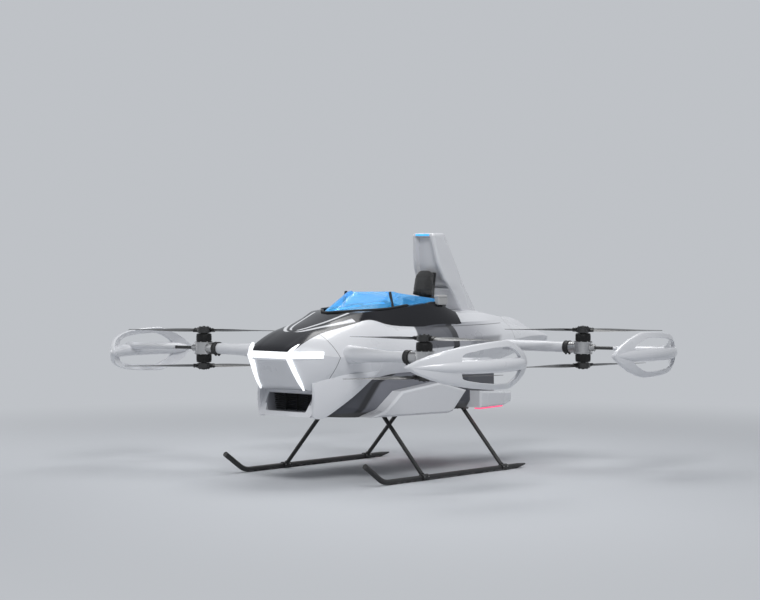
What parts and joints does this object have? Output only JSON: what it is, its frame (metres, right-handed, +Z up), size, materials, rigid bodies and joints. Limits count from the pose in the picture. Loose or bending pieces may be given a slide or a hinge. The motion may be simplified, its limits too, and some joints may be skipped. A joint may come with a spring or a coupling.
{
  "type": "single-seat electric multirotor flying car",
  "caption": "Single-seat electric flying car with coaxial rotors on booms, windowed rotor guards, an open cockpit behind a low windscreen, a fin and landing skids.",
  "frame": {"origin": "on the floor, on the symmetry plane, under the middle of the overall length", "axes": "+Z up, -Y towards the nose, +X towards the port side"},
  "size_m": [3.984, 3.788, 1.991],
  "materials": {
    "pearl_body": "pearl white gloss lacquer over moulded carbon composite",
    "pod_panel": "pearl white gloss lacquer",
    "dark_lower_body": "dark grey satin lacquer",
    "black_surround": "gloss black with white stripes",
    "light": "white glowing diffuser",
    "red_light": "red glowing diffuser",
    "clear_screen": "clear, faintly blue",
    "carbon": "woven carbon composite",
    "panel_black": "matte black",
    "seat_fabric": "black woven seat cover",
    "silver_mount": "machined aluminium",
    "motor_black": "black anodised can",
    "skid_black": "black powder coat"
  },
  "bodies": {
    "airframe": {"back_cushion": "seat_fabric", "belly": "dark_lower_body", "belly_lights": "red_light", "body_shell": "pearl_body", "boom_collars": "panel_black", "booms_front": "pearl_body", "booms_rear": "pearl_body", "chin_intake": "pearl_body", "cockpit_floor": "carbon", "control_sticks": "panel_black", "fin": "pearl_body", "guard_front_port": "pearl_body", "guard_front_starboard": "pearl_body", "guard_rear_port": "pearl_body", "guard_rear_starboard": "pearl_body", "guard_struts_front": "carbon", "guard_struts_rear": "carbon", "headrest": "seat_fabric", "hood_surround": "black_surround", "instrument_panel": "panel_black", "motor_mounts_front": "silver_mount", "motor_mounts_rear": "silver_mount", "motors": "motor_black", "nose_light": "light", "rear_pods": "pod_panel", "seat_cushion": "seat_fabric", "seat_shell": "carbon", "side_fairings": "pearl_body", "side_pods": "pod_panel", "side_windows": "clear_screen", "skid_port": "skid_black", "skid_starboard": "skid_black", "skid_struts_front": "skid_black", "skid_struts_rear": "skid_black", "tail_block": "pearl_body", "windscreen": "clear_screen"},
    "rotor_front_port_upper": {"rotor_front_port_upper": "carbon"},
    "rotor_front_port_lower": {"rotor_front_port_lower": "carbon"},
    "rotor_front_starboard_upper": {"rotor_front_starboard_upper": "carbon"},
    "rotor_front_starboard_lower": {"rotor_front_starboard_lower": "carbon"},
    "rotor_rear_port_upper": {"rotor_rear_port_upper": "carbon"},
    "rotor_rear_port_lower": {"rotor_rear_port_lower": "carbon"},
    "rotor_rear_starboard_upper": {"rotor_rear_starboard_upper": "carbon"},
    "rotor_rear_starboard_lower": {"rotor_rear_starboard_lower": "carbon"}
  },
  "joints": [
    {"name": "rotor_front_port_upper_spin", "type": "hinge", "parent": "airframe", "child": "rotor_front_port_upper", "pos_m": [1.2, -1.221, 1.173], "axis": [0, 0, 1], "continuous": true},
    {"name": "rotor_front_port_lower_spin", "type": "hinge", "parent": "airframe", "child": "rotor_front_port_lower", "pos_m": [1.2, -1.221, 0.875], "axis": [0, 0, 1], "continuous": true},
    {"name": "rotor_front_starboard_upper_spin", "type": "hinge", "parent": "airframe", "child": "rotor_front_starboard_upper", "pos_m": [-1.2, -1.221, 1.173], "axis": [0, 0, 1], "continuous": true},
    {"name": "rotor_front_starboard_lower_spin", "type": "hinge", "parent": "airframe", "child": "rotor_front_starboard_lower", "pos_m": [-1.2, -1.221, 0.875], "axis": [0, 0, 1], "continuous": true},
    {"name": "rotor_rear_port_upper_spin", "type": "hinge", "parent": "airframe", "child": "rotor_rear_port_upper", "pos_m": [1.2, 0.891, 1.173], "axis": [0, 0, 1], "continuous": true},
    {"name": "rotor_rear_port_lower_spin", "type": "hinge", "parent": "airframe", "child": "rotor_rear_port_lower", "pos_m": [1.2, 0.891, 0.875], "axis": [0, 0, 1], "continuous": true},
    {"name": "rotor_rear_starboard_upper_spin", "type": "hinge", "parent": "airframe", "child": "rotor_rear_starboard_upper", "pos_m": [-1.2, 0.891, 1.173], "axis": [0, 0, 1], "continuous": true},
    {"name": "rotor_rear_starboard_lower_spin", "type": "hinge", "parent": "airframe", "child": "rotor_rear_starboard_lower", "pos_m": [-1.2, 0.891, 0.875], "axis": [0, 0, 1], "continuous": true}
  ]
}
